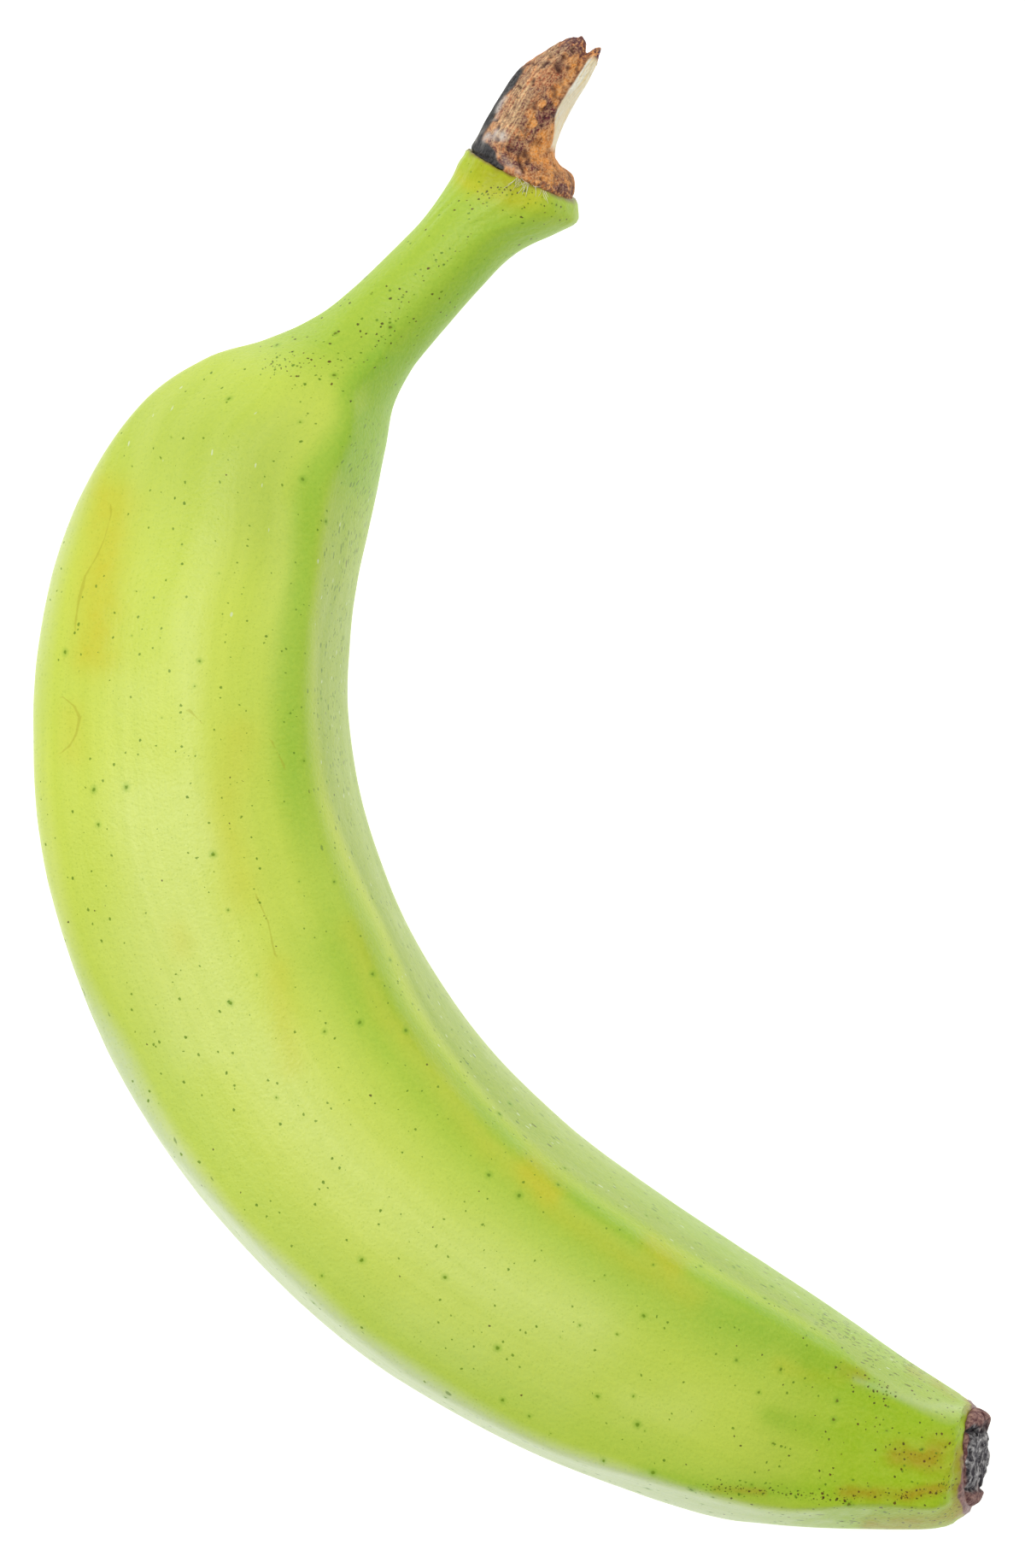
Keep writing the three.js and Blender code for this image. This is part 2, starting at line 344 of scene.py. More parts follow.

# Places on the upper side: lines in millimetres, each with its width and strength.
# Painted highlights on the upper faces:
HIGHLIGHT_PLACES = [
    ([(-35.5, 28), (-37.2, 22), (-37.8, 16), (-37.8, 7), (-36.5, -7)], 2.2, 0.6),
    ([(-41, -4), (-37.5, -18), (-33, -28), (-20, -44), (-12, -51), (0, -59), (8, -63)], 5.5, 0.9),
    ([(-42, -8), (-41.5, -20), (-37, -29)], 4.5, 0.5),
    ([(-46, -18), (-39, -36), (-25, -54), (-8, -66), (5, -72)], 3.5, 0.35),
    ([(-12, -62), (-5, -66)], 3, 0.3),
    ([(14, -72), (20, -73)], 3, 0.4),
    ([(-44, 10), (-44.5, -2)], 3.5, 0.5),
    ([(-26, 31), (-27, 12)], 1.6, 0.3),
]
# A painted highlight along the ridge over the hollow, near the tip.
RIDGE_LIGHT = [([(40, -69.3), (43.5, -70.8), (48.5, -72.7), (52.5, -73.4)], 0.55, 1.0)]
WARM_PLACES = [
    ([(-46.8, 33), (-47.5, 27), (-48.2, 21), (-48.5, 15)], 2.8, 0.85),
    ([(-51, 8), (-51, 4)], 1.8, 0.4),
    ([(-32, 6), (-33, -4), (-31.5, -13)], 2.2, 0.35),
    ([(-27.5, -21), (-25.8, -33)], 1.6, 0.4),
    ([(-39, -17), (-38.5, -19)], 1.5, 0.3),
    ([(2, -44.5), (4.5, -47)], 1.8, 0.8),
    ([(16, -53.5), (19, -56)], 1.3, 0.7),
    ([(-4.2, 71.4), (-1.5, 70.9), (1.5, 69.6)], 2.0, 1.7),
    ([(31, -68), (38, -69.5)], 1.0, 0.4),
    ([(-19, -17), (-14.5, -27), (-9.5, -33.5), (-2.5, -42.5), (5.5, -50), (13.5, -55.5), (21, -59.5)],
     1.7, 0.4),
]
RUST_PLACES = [
    ([(45.5, -78.3), (48.5, -78.8)], 1.5, 0.9),
    ([(39, -82.6), (46, -83.4), (50.5, -82)], 0.8, 0.8),
    ([(50, -77), (51.5, -80)], 1.4, 0.5),
    ([(38, -68), (40.5, -69)], 0.9, 0.5),
    ([(47, -69), (52, -71.5)], 0.9, 0.5),
    ([(42, -87), (50, -86.5), (53, -84.5)], 1.3, 0.8),
    ([(24, -82), (29, -82.4)], 0.5, 0.5),
    ([(-3, 71.5), (0, 69.8)], 2.2, 0.4),
]
DEEP_PLACES = [
    ([(-22, -20), (-10, -36), (4, -48), (20, -60)], 4.0, 0.3),
    ([(35, -68), (40, -71), (46, -73.5)], 1.8, 0.6),
    ([(30, -73.5), (36, -75.5), (43, -77.5)], 1.5, 0.55),
    ([(25, -62.5), (28, -64)], 3.5, 0.4),
    ([(15, -81), (25, -82.2), (38, -82)], 1.2, 0.5),
    ([(-15.5, 48), (-14.5, 44), (-18, 38)], 2.4, 0.7),
    ([(-3.5, 60), (-9, 52), (-14, 47)], 2.2, 0.45),
]
FLECK_PLACES = [
    ([(-3, 68.2), (-1, 69.2), (1.5, 69.2)], 1.0, 1.0),
    ([(0, 67), (5, 67.5)], 1.0, 0.5),
    ([(-5.5, 63.4), (-7.5, 61.7), (-9.5, 60), (-12, 57.2), (-14.5, 54.2), (-16, 50.7)], 1.0, 0.75),
    ([(-27, 48.7), (-20, 49.7)], 2.8, 0.8),
    ([(-9, 57), (-12, 52)], 2.4, 0.4),
    ([(22.5, -81.6), (30, -82.4), (38, -83.2), (46, -83.3), (50.5, -82)], 0.7, 2.0),
    ([(45, -78), (49, -79)], 2.0, 0.5),
    ([(38, -68), (44, -71.5)], 0.9, 0.7),
    ([(48, -87), (54, -84)], 1.2, 0.7),
]
DASH_PLACES = [
    ([(-15.5, 44), (-16, 42), (-17.5, 35.7), (-19.5, 27.7)], 2.0, 1.0),
    ([(-19.5, 27), (-21, 8), (-20, -4)], 2.4, 0.45),
    ([(36, -62.3), (40, -64.8), (44, -67.3), (48, -69)], 1.0, 2.2),
]
SCRATCHES = [
    [(-47, 33.8), (-46.8, 31.5), (-47.6, 28.6), (-48.5, 26.5), (-49.8, 24.3), (-50.6, 21), (-51, 18)],
    [(-52.3, 10.1), (-51, 9), (-50.4, 7.7), (-50.8, 5.8), (-51.6, 4.4), (-52.4, 3.8)],
    [(-37.5, 8.5), (-36.2, 7.2)],
    [(-28, 5), (-26.5, 2)],
    [(-29.8, -13), (-28.4, -16), (-27.6, -20)],
]
# Where the skin ends at the flower scar, seen from above.
RIND_END = [(53.7, -71.5), (53.7, -75.2), (53.8, -76.2), (53.3, -77.2), (52.6, -78.2), (52.2, -79.7),
            (52.4, -81.7), (52.1, -82.7), (52.0, -83.4), (52.4, -84.2), (52.9, -86)]
FAR = 3

# The numbers that s is compared with are slices: 2 is the collar's lip, 6 to 8 the stalk, 9 to 10 the
# neck, 11 to 12 the shoulder, 13 to 17 the belly, 18 to 20 the lower half and 21 to 26 the tapering end.
for v in peel.verts:
    s, a = v[along], v[around]
    drift = noise.noise_vector(v.co * 110) * 0.7
    x, y = v.co.x / MM + drift.x, v.co.y / MM + drift.y
    upper = rise(v.normal.z, -0.1, 0.3)
    wander = noise.noise(v.co * 60) * 0.1
    cloud = noise.noise(v.co * 45)
    hollow = past(a, HOLLOW) + wander
    back = past(a, BACK) + wander - 0.045

    # Bands along the ridges: the grey-green hollow side, a painted reflection of the white room, and
    # deep green beside both ridges.
    inner_from = 0.13 * rise(s, 15, 17) - 0.24 * rise(s, 21.3, 23)
    inner_face = rise(hollow, inner_from, inner_from + 0.16) * (1 - rise(hollow, 1.6, 2.3))
    band = rise(hollow, -0.4, -0.08) * (1 - rise(hollow, -0.02, 0.14))
    band *= rise(s, 7, 11) * (1 - (0.75 + 0.5 * cloud) * rise(s, 15.5, 17) * (1 - rise(s, 20, 22)))
    band += 0.3 * rise(hollow, -1.0, -0.3) * (1 - rise(hollow, -0.3, 0)) * rise(s, 11, 13)
    by_back = rise(back, -0.05, 0.08) * (1 - rise(back, 0.12, 0.6)) * rise(s, 14, 18)
    deep_green_and_shade = 0.85 * band + 0.3 * by_back + upper * feature_at(x, y, DEEP_PLACES)
    deep_green_and_shade += 0.55 * hill(hollow, 0.07, 0.09) * rise(s, 15.8, 17) + 0.1 * rise(s, 16.5, 20)
    # Painted shade: darker green on the hollow side of the neck, of the shoulder and of the lower half.
    deep_green_and_shade += 0.55 * rise(10.5 - s, 0, 2) * rise(hollow, -0.5, 0.4)
    v[marks["deep_green_and_shade"]] = deep_green_and_shade + inner_face * (0.95 * hill(s, 11.4, 1.4) + 0.8 * rise(s, 18.5, 20.5))

    # Painted highlights on the upper faces and along the hollow ridge, the hollow side's painted
    # reflection, fresh and warm places, and the yellower ends.
    v[marks["pale"]] = feature_at(x, y, HIGHLIGHT_PLACES) * upper
    shaded = rise(hollow, 0.3, 0.5) * rise(s, 18.5, 20.5)
    grey_reflection = rise(s, 11.0, 13.6) * (1 - 0.15 * rise(s, 21, 24)) * (1 - 0.5 * shaded)
    v[marks["grey_reflection"]] = inner_face * grey_reflection + 0.45 * hill(s, 12.2, 1.1) * upper * rise(-hollow, 0.2, 0.6)
    neck = rise(11.2 - s, 0, 2.4)
    fresh = 1.1 * neck + 0.22 * rise(14.2 - s, 0, 3) + 0.3 * rise(s, 16.5, 21)
    v[marks["fresh"]] = fresh + 0.25 * cloud * upper
    collar = rise(5.6 - s, 0, 2.0) * (1 - 0.8 * rise(hollow, -0.9, 0.1))
    v[marks["warm"]] = feature_at(x, y, WARM_PLACES) * upper + 1.1 * collar
    light = feature_at(x, y, RIDGE_LIGHT) * upper
    olive = rise(s + 0.5 * cloud, 20.4, 23.6) * (1 - 0.75 * inner_face) * (1 - 0.9 * light)
    v[marks["olive"]] = 0.7 * collar + olive
    v[marks["rust"]] = feature_at(x, y, RUST_PLACES) * rise(v.normal.z, -0.4, 0.4)

    # Painted reflection of the white room on the skin under the outer ridge, with the painted ridge
    # highlight, and the dry edge inside the collar.
    over = 0.12 * hill(s, 16.8, 0.5) + 0.07 * hill(s, 19.2, 1.2)
    rim_reflection = rise(over - back, -0.05, 0.12) * (1 - rise(-back, 0.4, 1.0))
    rim_reflection *= 0.6 * rise(s, 11, 12.6) * (1 - 0.5 * hill(s, 15.4, 0.9)) + 0.4 * rise(s, 15.9, 16.9)
    rim_reflection += 0.22 * rise(-back, 0.2, 1.0) * (1 - rise(-back, 1.2, 2.0)) * rise(s, 11, 15)
    v[marks["rim_reflection"]] = rim_reflection * (1 - rise(s, 22.6, 24.4)) + 0.35 * light * (0.7 + cloud)
    v[marks["husk"]] = 1 - rise(s + 0.5 * noise.noise(v.co * 900), 1.9, 2.5)

    # How close the specks, dashes and dots stand, and how brown the specks are.
    crowd = 0.1 + 0.16 * rise(10 - s, 0, 5) + 0.25 * rise(s, 21, 23)
    crowd += feature_at(x, y, FLECK_PLACES) * upper
    v[marks["fleck"]] = crowd * (0.7 + 0.6 * (noise.noise(v.co * 150) + 0.5))
    dashes = 0.3 * inner_face + 0.15 * rim_reflection + feature_at(x, y, DASH_PLACES)
    v[marks["dash"]] = dashes * rise(hollow, -0.1, 0.1) * rise(s, 10, 11.5) + 0.1 * rim_reflection
    v[marks["burnt"]] = 0.06 + 0.5 * neck + 0.6 * rise(s, 20.5, 22.5)
    v[marks["spots"]] = 0.14 + 0.5 * rise(s, 18.5, 20.5) * (1 - rise(s, 23.3, 24.2)) * upper

    # Distances, in millimetres, to the scratches and to the end of the skin.
    x, y = v.co.x / MM, v.co.y / MM
    offs = [off_line(x, y, line) for line in SCRATCHES] if 13 < s < 17 and upper else []
    gap, beyond = min(offs, key=lambda off: abs(off[0]), default=(FAR, FAR))
    v[marks["scratch"]] = min(max(gap, -FAR), FAR)
    v[marks["scratched"]] = 1 - rise(beyond, 0, 0.5)
    end_gap = off_line(x, y, RIND_END)[0] if s > 22 else -FAR
    v[marks["rind_end"]] = min(max(end_gap, -FAR), FAR)

    # Slight swellings, and the lip where the skin ends.
    swelling = 0.1 * noise.noise(v.co * 85) + 0.03 * noise.noise(v.co * 300)
    swelling += 0.1 * noise.noise(Vector((a * 6, 0, s * 0.4))) * (rise(8 - s, 0, 3) + rise(s, 22, 24))
    swelling += 0.12 * rise(end_gap, -0.2, 0.3) - 0.12 * hill(end_gap, -0.5, 0.4)
    v.co += v.normal * swelling * MM * rise(v.co.z / MM, 0.1, 2.5)


def wired(tree, kind, settings=None, **sockets):
    """A new node, with each named socket set to a value or fed by another node's output."""
    made = tree.nodes.new(kind)
    for name, value in (settings or {}).items():
        setattr(made, name, value)
    for name, value in sockets.items():
        socket = made.inputs[name.replace("_", " ")]
        if isinstance(value, bpy.types.NodeSocket):
            tree.links.new(value, socket)
        else:
            socket.default_value = value
    return made


def maths(tree, operation, *terms, clamp=False):
    """What a Math node makes of two or three terms."""
    made = tree.nodes.new("ShaderNodeMath")
    made.operation = operation
    made.use_clamp = clamp
    for socket, term in zip(made.inputs, terms):
        if isinstance(term, bpy.types.NodeSocket):
            tree.links.new(term, socket)
        else:
            socket.default_value = term
    return made.outputs[0]


def tinted(tree, share, under, over):
    """The colour `over` laid on the colour `under` by a share from 0 to 1."""
    made = tree.nodes.new("ShaderNodeMix")
    made.data_type = "RGBA"
    for socket, value in ((made.inputs[0], share), (made.inputs[6], under), (made.inputs[7], over)):
        if isinstance(value, bpy.types.NodeSocket):
            tree.links.new(value, socket)
        else:
            socket.default_value = value
    return made.outputs[2]


def dye(red, green, blue):
    """A colour, 0 to 255, as the light that it reflects."""
    return tuple((c / 255) ** 2.2 for c in (red, green, blue)) + (1,)


def mask_group(name, *inputs):
    """An empty group that puts out one mask, with its inputs named and set."""
    group = bpy.data.node_groups.new(name, "ShaderNodeTree")
    for label, kind, value in inputs:
        socket = group.interface.new_socket(label, in_out="INPUT", socket_type=kind)
        if value is not None:
            socket.default_value = value
    group.interface.new_socket("Mask", in_out="OUTPUT", socket_type="NodeSocketFloat")
    return group, group.nodes.new("NodeGroupInput"), group.nodes.new("NodeGroupOutput")


# Specks: dots of uneven size and outline, more of them where Amount is high, each with its Tone.
specks, given, result = mask_group(
    "specks",
    ("Vector", "NodeSocketVector", None),
    ("Per Metre", "NodeSocketFloat", 400),
    ("Size", "NodeSocketFloat", 0.2),
    ("Edge", "NodeSocketFloat", 0.1),
    ("Amount", "NodeSocketFloat", 0.3),
)
specks.interface.new_socket("Tone", in_out="OUTPUT", socket_type="NodeSocketFloat")
rough = wired(specks, "ShaderNodeTexNoise", Vector=given.outputs["Vector"], Scale=3000)
shifted = wired(specks, "ShaderNodeVectorMath", {"operation": "SCALE"}, Vector=rough.outputs["Color"],
                Scale=0.0003)
ragged = wired(specks, "ShaderNodeVectorMath", {"operation": "ADD"}, Vector=given.outputs["Vector"])
specks.links.new(shifted.outputs["Vector"], ragged.inputs[1])
cells = wired(specks, "ShaderNodeTexVoronoi", {"voronoi_dimensions": "2D"},
              Vector=ragged.outputs["Vector"], Scale=given.outputs["Per Metre"])
pick = wired(specks, "ShaderNodeSeparateColor", Color=cells.outputs["Color"])
chosen = maths(specks, "LESS_THAN", pick.outputs[0], given.outputs["Amount"])
least_size = maths(specks, "MULTIPLY", given.outputs["Size"], 0.45)
own_size = maths(specks, "MULTIPLY_ADD", pick.outputs[1], given.outputs["Size"], least_size)
inside = maths(specks, "SUBTRACT", own_size, cells.outputs["Distance"])
dot = maths(specks, "DIVIDE", inside, given.outputs["Edge"], clamp=True)
specks.links.new(maths(specks, "MULTIPLY", dot, chosen), result.inputs["Mask"])
specks.links.new(pick.outputs[2], result.inputs["Tone"])

# Mottling: soft blotches, pushed apart by Contrast.
mottling, given, result = mask_group(
    "mottling",
    ("Vector", "NodeSocketVector", None),
    ("Per Metre", "NodeSocketFloat", 100),
    ("Detail", "NodeSocketFloat", 4),
    ("Contrast", "NodeSocketFloat", 2),
)
cloud = wired(mottling, "ShaderNodeTexNoise", Vector=given.outputs["Vector"],
              Scale=given.outputs["Per Metre"], Detail=given.outputs["Detail"])
centred = maths(mottling, "SUBTRACT", cloud.outputs[0], 0.5)
pushed = maths(mottling, "MULTIPLY_ADD", centred, given.outputs["Contrast"], 0.5, clamp=True)
mottling.links.new(pushed, result.inputs["Mask"])


def placed(tree, group, **sockets):
    """A group in a material, with its own values."""
    return wired(tree, "ShaderNodeGroup", {"node_tree": group}, **sockets).outputs


def painted(tree, name):
    """What was laid on the mesh under this name."""
    return wired(tree, "ShaderNodeAttribute", {"attribute_name": name}).outputs["Fac"]


def new_finish(name):
    """A new material: its tree, its shader, its place on the fruit and its place on the flat skin."""
    material = bpy.data.materials.new(name)
    material.use_nodes = True
    tree = material.node_tree
    where = tree.nodes.new("ShaderNodeTexCoord").outputs
    return material, tree, tree.nodes["Principled BSDF"], where["Object"], where["UV"]


def lines_along(tree, skin, per_metre, shortened, detail):
    """Fine lines that run the length of the fruit: a noise drawn out along the skin."""
    drawn = wired(tree, "ShaderNodeMapping", Vector=skin, Scale=(1, shortened, 1))
    noisy = wired(tree, "ShaderNodeTexNoise", Vector=drawn.outputs[0], Scale=per_metre, Detail=detail)
    return noisy.outputs[0]


unripe_skin, tree, shader, spot, skin = new_finish("unripe_skin")
cloudy = placed(tree, mottling, Vector=spot, Per_Metre=55, Detail=3, Contrast=1.6)["Mask"]
fine_cloud = placed(tree, mottling, Vector=spot, Per_Metre=420, Detail=4, Contrast=1.8)["Mask"]
grainy = placed(tree, mottling, Vector=spot, Per_Metre=2300, Detail=3, Contrast=2.6)["Mask"]
streaks = lines_along(tree, skin, 900, 0.06, 4)
broad_streaks = lines_along(tree, skin, 260, 0.1, 3)


# From here on, tree is that of the material being made, and the next functions add to it.
def laid(colour, share, strength, over):
    """A colour laid over another by a mask, at a strength from 0 to 1."""
    return tinted(tree, maths(tree, "MULTIPLY", share, strength, clamp=True), colour, over)


def broken_up(mask, by, share):
    """A mask with its even edge broken by a noise."""
    shifted = maths(tree, "SUBTRACT", by, 0.5)
    gain = maths(tree, "MULTIPLY_ADD", shifted, share, 1)
    return maths(tree, "MULTIPLY", mask, gain, clamp=True)


def stretched_out(value, gain):
    """A noise with its middle values pulled apart to fill 0 to 1."""
    middle = maths(tree, "SUBTRACT", value, 0.5)
    return maths(tree, "MULTIPLY_ADD", middle, gain, 0.5, clamp=True)


deep_green_and_shade = broken_up(painted(tree, "deep_green_and_shade"), cloudy, 0.5)
pale = broken_up(painted(tree, "pale"), cloudy, 0.7)
warm = broken_up(painted(tree, "warm"), fine_cloud, 0.6)
olive = broken_up(painted(tree, "olive"), fine_cloud, 0.5)
rust = broken_up(painted(tree, "rust"), fine_cloud, 1.4)
colour = laid(dye(210, 226, 84), cloudy, 0.5, dye(218, 230, 96))
colour = laid(colour, stretched_out(broad_streaks, 2.4), 0.26, dye(226, 238, 124))
colour = laid(colour, painted(tree, "fresh"), 0.85, dye(168, 200, 66))
# Painted highlights on the upper faces.
colour = laid(colour, pale, 0.75, dye(224, 238, 134))
# Deep green by the ridges, and painted shade on the hollow side of the neck, shoulder and lower half.
colour = laid(colour, deep_green_and_shade, 0.85, dye(138, 188, 44))
# The hollow side's pale grey-green, a painted reflection of the white room.
inner = laid(dye(162, 188, 82), stretched_out(broad_streaks, 3), 0.6, dye(190, 208, 122))
colour = laid(colour, painted(tree, "grey_reflection"), 0.92, inner)
# Painted reflection under the outer ridge, and a painted highlight along the hollow ridge near the tip.
colour = laid(colour, painted(tree, "rim_reflection"), 0.95, dye(216, 230, 186))
colour = laid(colour, stretched_out(streaks, 2.6), 0.16, dye(172, 198, 62))
colour = laid(colour, warm, 0.62, dye(212, 196, 34))
colour = laid(colour, olive, 0.92, dye(158, 194, 0))
colour = laid(colour, rust, 0.75, dye(172, 138, 2))
colour = laid(colour, grainy, 0.14, dye(232, 240, 88))
pores = placed(tree, specks, Vector=skin, Per_Metre=2600, Size=0.3, Edge=0.3, Amount=0.5)["Mask"]
colour = laid(colour, pores, 0.2, dye(140, 174, 40))
off_scratch = maths(tree, "ABSOLUTE", painted(tree, "scratch"))
thin = maths(tree, "MULTIPLY_ADD", off_scratch, -9, maths(tree, "MULTIPLY", fine_cloud, 3), clamp=True)
scratch = maths(tree, "MULTIPLY", thin, painted(tree, "scratched"))
colour = laid(colour, scratch, 0.4, dye(170, 164, 36))
fleck = painted(tree, "fleck")
burnt = painted(tree, "burnt")


def speckled(under, vector, per_metre, size, amount, strength, fresh, brown):
    """Dots on a colour, some of them brown and more of those where the skin is burnt."""
    made = placed(tree, specks, Vector=vector, Per_Metre=per_metre, Size=size, Edge=size * 0.45,
                  Amount=amount)
    is_brown = maths(tree, "LESS_THAN", made["Tone"], burnt)
    return laid(under, made["Mask"], strength, tinted(tree, is_brown, fresh, brown))


colour = speckled(colour, skin, 760, 0.11, maths(tree, "MULTIPLY", fleck, 0.42), 0.85,
                  dye(96, 134, 16), dye(84, 36, 10))
colour = speckled(colour, skin, 1300, 0.17, maths(tree, "MULTIPLY", fleck, 0.5), 0.8,
                  dye(104, 140, 22), dye(60, 30, 12))
crowded = maths(tree, "MULTIPLY_ADD", fleck, 0.45, -0.3, clamp=True)
colour = speckled(colour, skin, 2500, 0.25, crowded, 0.85, dye(88, 98, 12), dye(58, 30, 12))
drawn_skin = wired(tree, "ShaderNodeMapping", Vector=skin, Scale=(1, 0.45, 1)).outputs[0]
crowded = maths(tree, "MULTIPLY_ADD", painted(tree, "dash"), 0.4, -0.2, clamp=True)
colour = speckled(colour, drawn_skin, 2400, 0.24, crowded, 0.6, dye(92, 120, 44), dye(84, 84, 40))
few = maths(tree, "MULTIPLY", painted(tree, "dash"), 0.5)
colour = speckled(colour, drawn_skin, 1200, 0.2, few, 0.6, dye(96, 128, 56), dye(84, 84, 40))
very_few = maths(tree, "MULTIPLY", painted(tree, "grey_reflection"), 0.14)
colour = speckled(colour, drawn_skin, 900, 0.12, very_few, 0.6, dye(226, 236, 200), dye(226, 236, 200))
spots = painted(tree, "spots")
halo = placed(tree, specks, Vector=skin, Per_Metre=230, Size=0.12, Edge=0.13, Amount=spots)["Mask"]
colour = laid(colour, halo, 0.5, dye(122, 172, 34))
heart = placed(tree, specks, Vector=skin, Per_Metre=230, Size=0.045, Edge=0.03, Amount=spots)["Mask"]
colour = laid(colour, heart, 0.85, tinted(tree, burnt, dye(112, 148, 14), dye(96, 62, 10)))
at_scar = maths(tree, "MULTIPLY_ADD", fine_cloud, 0.7, painted(tree, "rind_end"))
colour = laid(colour, maths(tree, "MULTIPLY_ADD", at_scar, 0.9, 0.6, clamp=True), 0.6,
              dye(168, 122, 56))
colour = laid(colour, maths(tree, "MULTIPLY_ADD", at_scar, 5, -1.4, clamp=True), 0.95,
              tinted(tree, grainy, dye(92, 52, 58), dye(164, 120, 112)))
colour = laid(colour, painted(tree, "husk"), 0.85, dye(120, 84, 40))
tree.links.new(colour, shader.inputs["Base Color"])
gloss = maths(tree, "MULTIPLY_ADD", fine_cloud, 0.1, 0.34)
tree.links.new(gloss, shader.inputs["Roughness"])
shader.inputs["Specular IOR Level"].default_value = 0.27
grain_height = maths(tree, "MULTIPLY_ADD", grainy, 0.5, fine_cloud)
relief = maths(tree, "MULTIPLY_ADD", streaks, 0.5, grain_height)
bump = wired(tree, "ShaderNodeBump", Strength=0.35, Distance=0.0002, Height=relief)
tree.links.new(bump.outputs["Normal"], shader.inputs["Normal"])

finished(peel, "fruit_peel", "banana", unripe_skin)

# CROWN STUB
# What is left of the crown that joined the hand of bananas: dry, corky and fibrous. It was torn
# off at its far end, cut to pale flesh on the hollow side, and keeps black skin on its outer edge.
STUB_POINTS = [44, 40, 52, 44, 40]
STUB_SPACING = 0.15
STUB_END = shape((14, 78, 148, 207, 300), (1, 1, 1, 1.05, 1), 20, 0.2)
STUB_LOW = shape((10, 70, 148, 207, 298), (1, 1, 1, 1.03, 1), 18, 0.25)
stub_slices = [
    cut((6.9, 87.4), (8.1, 87.3), 1.4, 13.4, STUB_END),
    cut((5.6, 87.0), (9.0, 86.6), 4.4, 11.8, STUB_END),
    cut((3.8, 85.9), (10.1, 85.8), 6.0, 10.9, STUB_END),
    cut((1.6, 84.6), (9.8, 84.3), 7.0, 10.2, STUB_END),
    cut((0.2, 83.2), (8.9, 82.4), 7.8, 9.8, STUB_END),
    cut((-1.3, 80.9), (7.3, 79.8), 8.4, 9.6, STUB),
    cut((-2.8, 78.4), (5.8, 76.8), 8.8, 9.6, STUB),
    cut((-4.0, 76.2), (5.0, 74.1), 9.2, 9.6, STUB_LOW, -0.03),
    cut((-4.8, 74.8), (5.5, 72.5), 9.8, 9.4, STUB_LOW, -0.07),
    cut((-4.7, 74.2), (7.1, 71.0), 10.6, 9.0, COLLAR, -0.11),
    cut((-4.6, 73.9), (7.2, 69.0), 11.2, 8.7, COLLAR, -0.13),
    cut((-3.6, 72.6), (6.4, 68.2), 9.0, 9.8, COLLAR, -0.13),
    cut((-1.6, 71.4), (4.2, 69.4), 4.0, 12.2, COLLAR, -0.13),
]
stub = wrapped_tube(stub_slices, STUB_POINTS, STUB_SPACING)
along = stub.verts.layers.float["along"]
around = stub.verts.layers.float["around"]
face = {n: stub.verts.layers.float.new(n)
        for n in ("flesh", "bark", "torn", "pit", "grey_and_highlight", "fibrous", "purple", "orange")}

# Which way the stub points, and places on it in millimetres: how far up, and how far across.
UP_X, UP_Y = 0.53, 0.85
STUB_AXIS = Vector((UP_X, UP_Y, 0))
TORN_END_SPAN = (75.6, 77.3)
CUT_ACROSS, HORN_ACROSS, NOTCH_ACROSS, MIDDLE_ACROSS = -37.45, -37.0, -38.0, -41

# Lines in millimetres on its upper side, each with its width and strength.
GREY_AND_HIGHLIGHT_PLACES = [
    # A painted highlight on the black skin at its foot.
    ([(-3.7, 75.6), (-2.5, 76.2), (-1.5, 75.7)], 0.7, 1.0),
    ([(-2.2, 78), (-0.9, 80.4)], 0.3, 0.8),
    # A grey-brown tint on the lip.
    ([(-1.6, 73.4), (0, 72.2), (1.2, 71.1)], 0.35, 0.5),
]
FIBRE_PLACES = [([(-1.2, 76.6), (0.9, 80.6)], 1.5, 1.0), ([(2.5, 83.5), (5, 86)], 1.5, 0.5)]
PURPLE_PLACES = [
    ([(1.0, 81.6), (2.6, 80.6), (4.6, 79.0)], 1.3, 1.0),
    ([(0, 77.2), (2.4, 77), (4.6, 79)], 0.9, 1.1),
    ([(-2.4, 74.2), (1.6, 74.2), (2.4, 73)], 1.3, 1.0),
    ([(6.0, 85.6), (8.4, 85.4)], 0.9, 1.3),
    ([(3.0, 84.5), (4.5, 82.5)], 0.8, 0.6),
    ([(5, 70.2), (7, 69.8)], 0.9, 1.3),
    ([(-2, 73.6), (0.4, 72.4)], 0.8, 0.8),
]
ORANGE_PLACES = [
    ([(3, 77), (4.2, 74.5), (4.4, 72.4), (5.6, 71.6)], 2.0, 1.2),
    ([(6.6, 82.6), (5, 80.3)], 0.8, 0.7),
    ([(7, 84), (6.5, 85.5)], 0.8, 0.5),
]
BLACK_PLACES = [
    ([(-4.5, 75.2), (-3.9, 73.8)], 1.1, 1.0),
    ([(-3.6, 73.8), (-2.6, 73.2)], 0.85, 1.0),
    ([(-2.3, 72.8), (-1.2, 72.2)], 0.45, 0.7),
]
PIT_PLACES = [
    ([(5.2, 84.1), (5.5, 83.6)], 0.4, 1.0),
    ([(6.0, 85.2), (6.1, 84.9)], 0.2, 0.9),
    ([(-0.4, 74.5), (0, 74.3)], 0.4, 0.9),
    ([(0.7, 73.3), (1.3, 71.6)], 0.2, 1.0),
    ([(1.0, 73.8), (1.5, 73.5)], 0.35, 0.8),
    ([(2.8, 75.1), (3.2, 74.9)], 0.35, 0.7),
    ([(3.6, 78.8), (4.6, 79.4)], 0.22, 0.8),
    ([(6.9, 71.6), (7.4, 70.2), (7.2, 69)], 0.35, 0.9),
]
SMOOTH_PLACES = [([(3.4, 79.6), (3.6, 79.8)], 0.5, 1.0), ([(1.9, 75.6), (2.6, 77.4)], 0.45, 0.8)]

